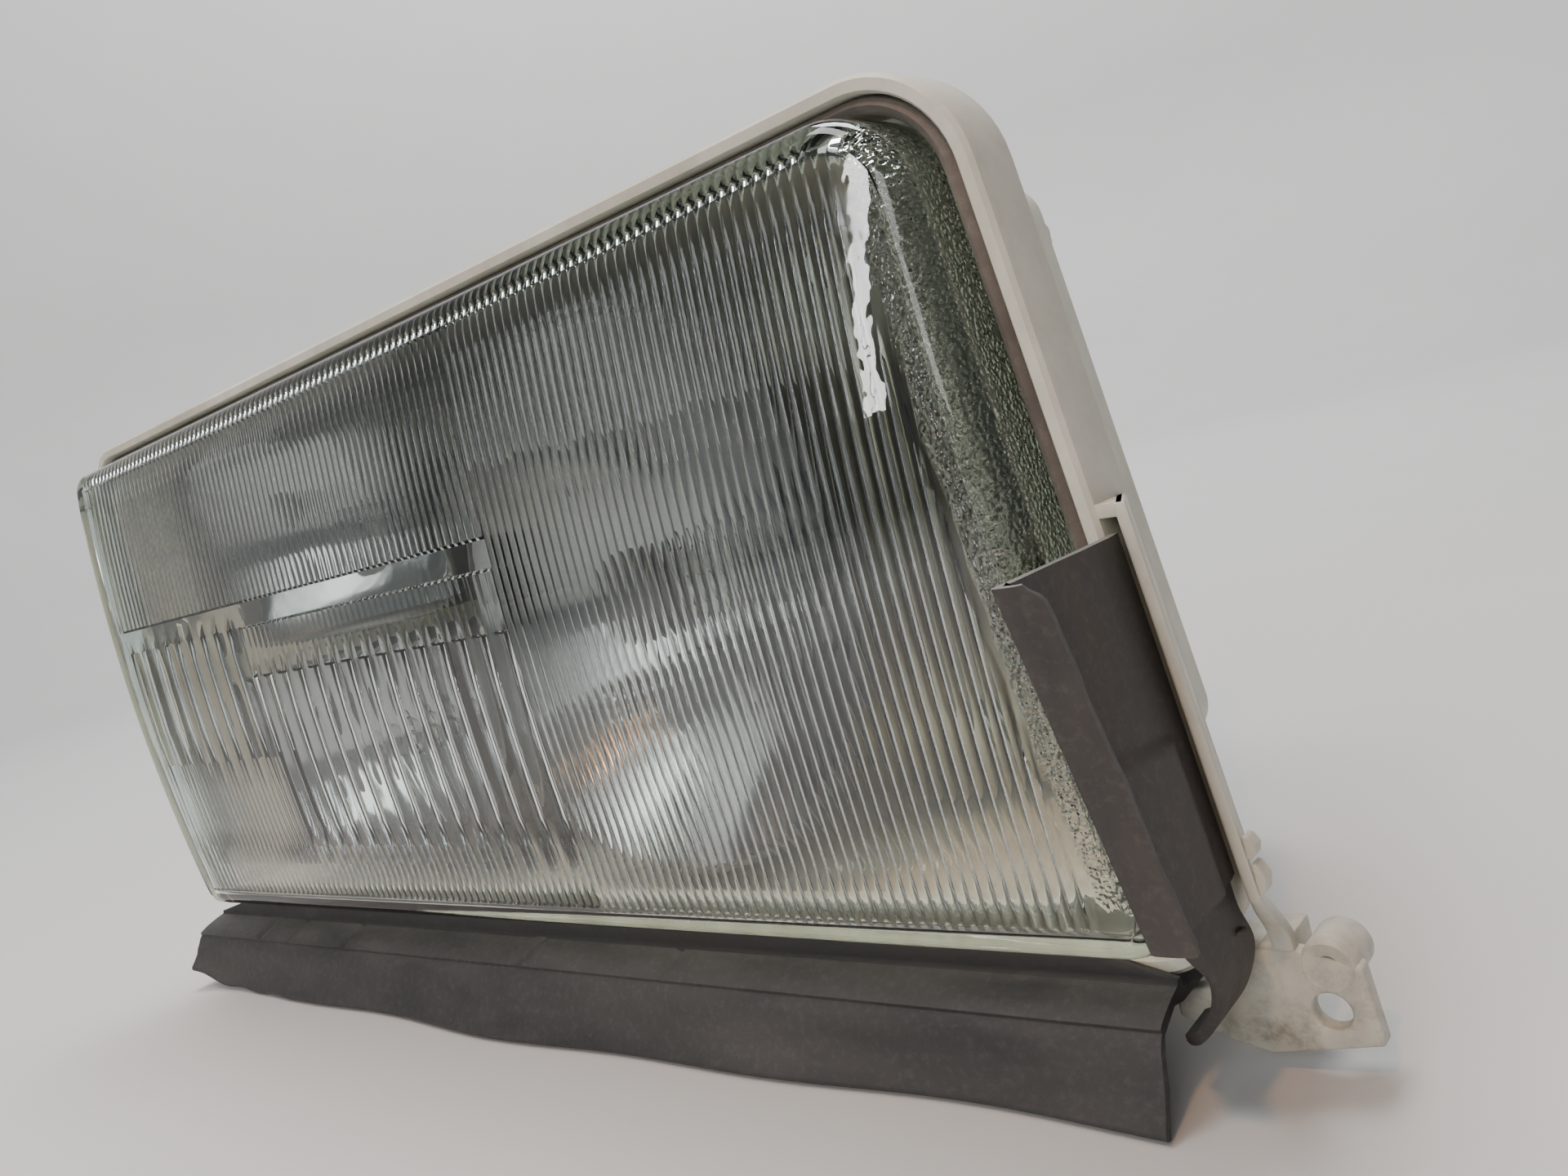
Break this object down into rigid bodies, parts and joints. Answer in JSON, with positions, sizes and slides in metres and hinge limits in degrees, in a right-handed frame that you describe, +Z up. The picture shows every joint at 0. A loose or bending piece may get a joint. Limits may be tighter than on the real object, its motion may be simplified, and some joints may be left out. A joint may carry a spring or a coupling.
{
  "type": "car headlight assembly",
  "caption": "Rectangular sedan headlight with fluted glass, round and rectangular aimable reflectors, rubber side and lower seals, mounting ear and hinged rear cover.",
  "frame": {"origin": "centre of the bounding box in plan, at the floor the lamp stands on", "axes": "+X towards the outer end of the lamp, +Y to the rear (away from the glass), +Z up"},
  "size_m": [0.4216, 0.1882, 0.2028],
  "materials": {
    "cream_plastic": "aged cream moulded plastic, lightly stained",
    "lens_green_glass": "pressed fluted glass with a pale green edge tint",
    "bulb_clear_glass": "clear quartz glass",
    "gasket_rubber": "grey-brown sealing rubber",
    "side_rubber": "dusty dark brown rubber",
    "skirt_rubber": "dusty black rubber",
    "mirror_metal": "vapour-coated mirror bowl",
    "frame_steel": "yellow-passivated pressed steel",
    "spring_steel": "bright zinc-plated steel",
    "bulb_metal": "plain nickel-plated bulb base",
    "shield_black": "heat-proof black finish",
    "black_plastic": "black moulded plastic",
    "white_plastic": "natural white moulded plastic",
    "terminal_brass": "bare brass blades"
  },
  "bodies": {
    "housing": {"housing_shell": "cream_plastic", "lens_glass": "lens_green_glass", "lens_gasket": "gasket_rubber", "side_seal": "side_rubber", "skirt_seal": "skirt_rubber", "pivot_ball_stud": "spring_steel", "pivot_stud_nut": "spring_steel", "vertical_adjuster_bush": "white_plastic", "horizontal_adjuster_bush": "white_plastic", "breather_cap": "black_plastic", "connector_socket": "black_plastic", "connector_terminals": "terminal_brass", "hinge_pin_inner": "spring_steel", "hinge_pin_outer": "spring_steel"},
    "pivot_socket": {"pivot_socket": "white_plastic"},
    "reflector_frame": {"aim_frame": "frame_steel", "dipped_reflector": "mirror_metal", "main_reflector": "mirror_metal", "fog_reflector": "mirror_metal", "dipped_bulb_shield": "shield_black", "dipped_bulb_glass": "bulb_clear_glass", "dipped_bulb_base": "bulb_metal", "main_bulb_glass": "bulb_clear_glass", "main_bulb_base": "bulb_metal", "fog_bulb_glass": "bulb_clear_glass", "fog_bulb_base": "bulb_metal", "parking_bulb_glass": "bulb_clear_glass", "parking_bulb_holder": "black_plastic", "vertical_adjuster_nut": "white_plastic", "horizontal_adjuster_nut": "white_plastic", "dipped_frame_screw_1": "spring_steel", "dipped_frame_screw_2": "spring_steel", "dipped_frame_screw_3": "spring_steel", "main_frame_screw_1": "spring_steel", "main_frame_screw_2": "spring_steel", "fog_frame_screw_1": "spring_steel", "fog_frame_screw_2": "spring_steel"},
    "vertical_adjuster": {"vertical_adjuster_screw": "spring_steel", "vertical_adjuster_knob": "white_plastic"},
    "horizontal_adjuster": {"horizontal_adjuster_screw": "spring_steel", "horizontal_adjuster_knob": "white_plastic"},
    "dipped_bulb_clip": {"dipped_bulb_clip": "spring_steel"},
    "main_bulb_clip": {"main_bulb_clip": "spring_steel"},
    "fog_bulb_clip": {"fog_bulb_clip": "spring_steel"},
    "cover_bail": {"cover_bail": "spring_steel"},
    "rear_cover": {"rear_cover": "black_plastic", "rear_cover_gasket": "gasket_rubber"}
  },
  "joints": [
    {"name": "horizontal_aim", "type": "hinge", "parent": "housing", "child": "pivot_socket", "pos_m": [0.1095, 0.0331, 0.046], "axis": [0, 0, 1], "range_deg": [-2, 2]},
    {"name": "vertical_aim", "type": "hinge", "parent": "pivot_socket", "child": "reflector_frame", "pos_m": [0.1095, 0.0331, 0.046], "axis": [1, 0, 0], "range_deg": [-2, 2]},
    {"name": "horizontal_adjuster_turn", "type": "hinge", "parent": "housing", "child": "horizontal_adjuster", "pos_m": [-0.1735, 0.0331, 0.046], "axis": [0, 1, 0], "range_deg": [-1770, 1770]},
    {"name": "vertical_adjuster_turn", "type": "hinge", "parent": "housing", "child": "vertical_adjuster", "pos_m": [0.1095, 0.0331, 0.18], "axis": [0, 1, 0], "range_deg": [-840, 840]},
    {"name": "dipped_clip_release", "type": "hinge", "parent": "reflector_frame", "child": "dipped_bulb_clip", "pos_m": [0.0495, 0.0307, 0.1355], "axis": [1, 0, 0], "range_deg": [0, 100]},
    {"name": "main_clip_release", "type": "hinge", "parent": "reflector_frame", "child": "main_bulb_clip", "pos_m": [-0.0955, 0.0307, 0.1685], "axis": [1, 0, 0], "range_deg": [0, 100]},
    {"name": "fog_clip_release", "type": "hinge", "parent": "reflector_frame", "child": "fog_bulb_clip", "pos_m": [-0.0955, 0.0307, 0.0935], "axis": [1, 0, 0], "range_deg": [0, 100]},
    {"name": "bail_release", "type": "hinge", "parent": "housing", "child": "cover_bail", "pos_m": [-0.0055, 0.0831, 0.052], "axis": [-1, 0, 0], "range_deg": [0, 95]},
    {"name": "cover_open", "type": "hinge", "parent": "housing", "child": "rear_cover", "pos_m": [-0.0055, 0.0831, 0.052], "axis": [-1, 0, 0], "range_deg": [0, 81]}
  ],
  "couplings": [
    {"joint": "horizontal_aim", "follows": "horizontal_adjuster_turn", "ratio": 0.0011248},
    {"joint": "vertical_aim", "follows": "vertical_adjuster_turn", "ratio": 0.0023754},
    {"joint": "cover_open", "follows": "bail_release", "ratio": 0.85}
  ]
}
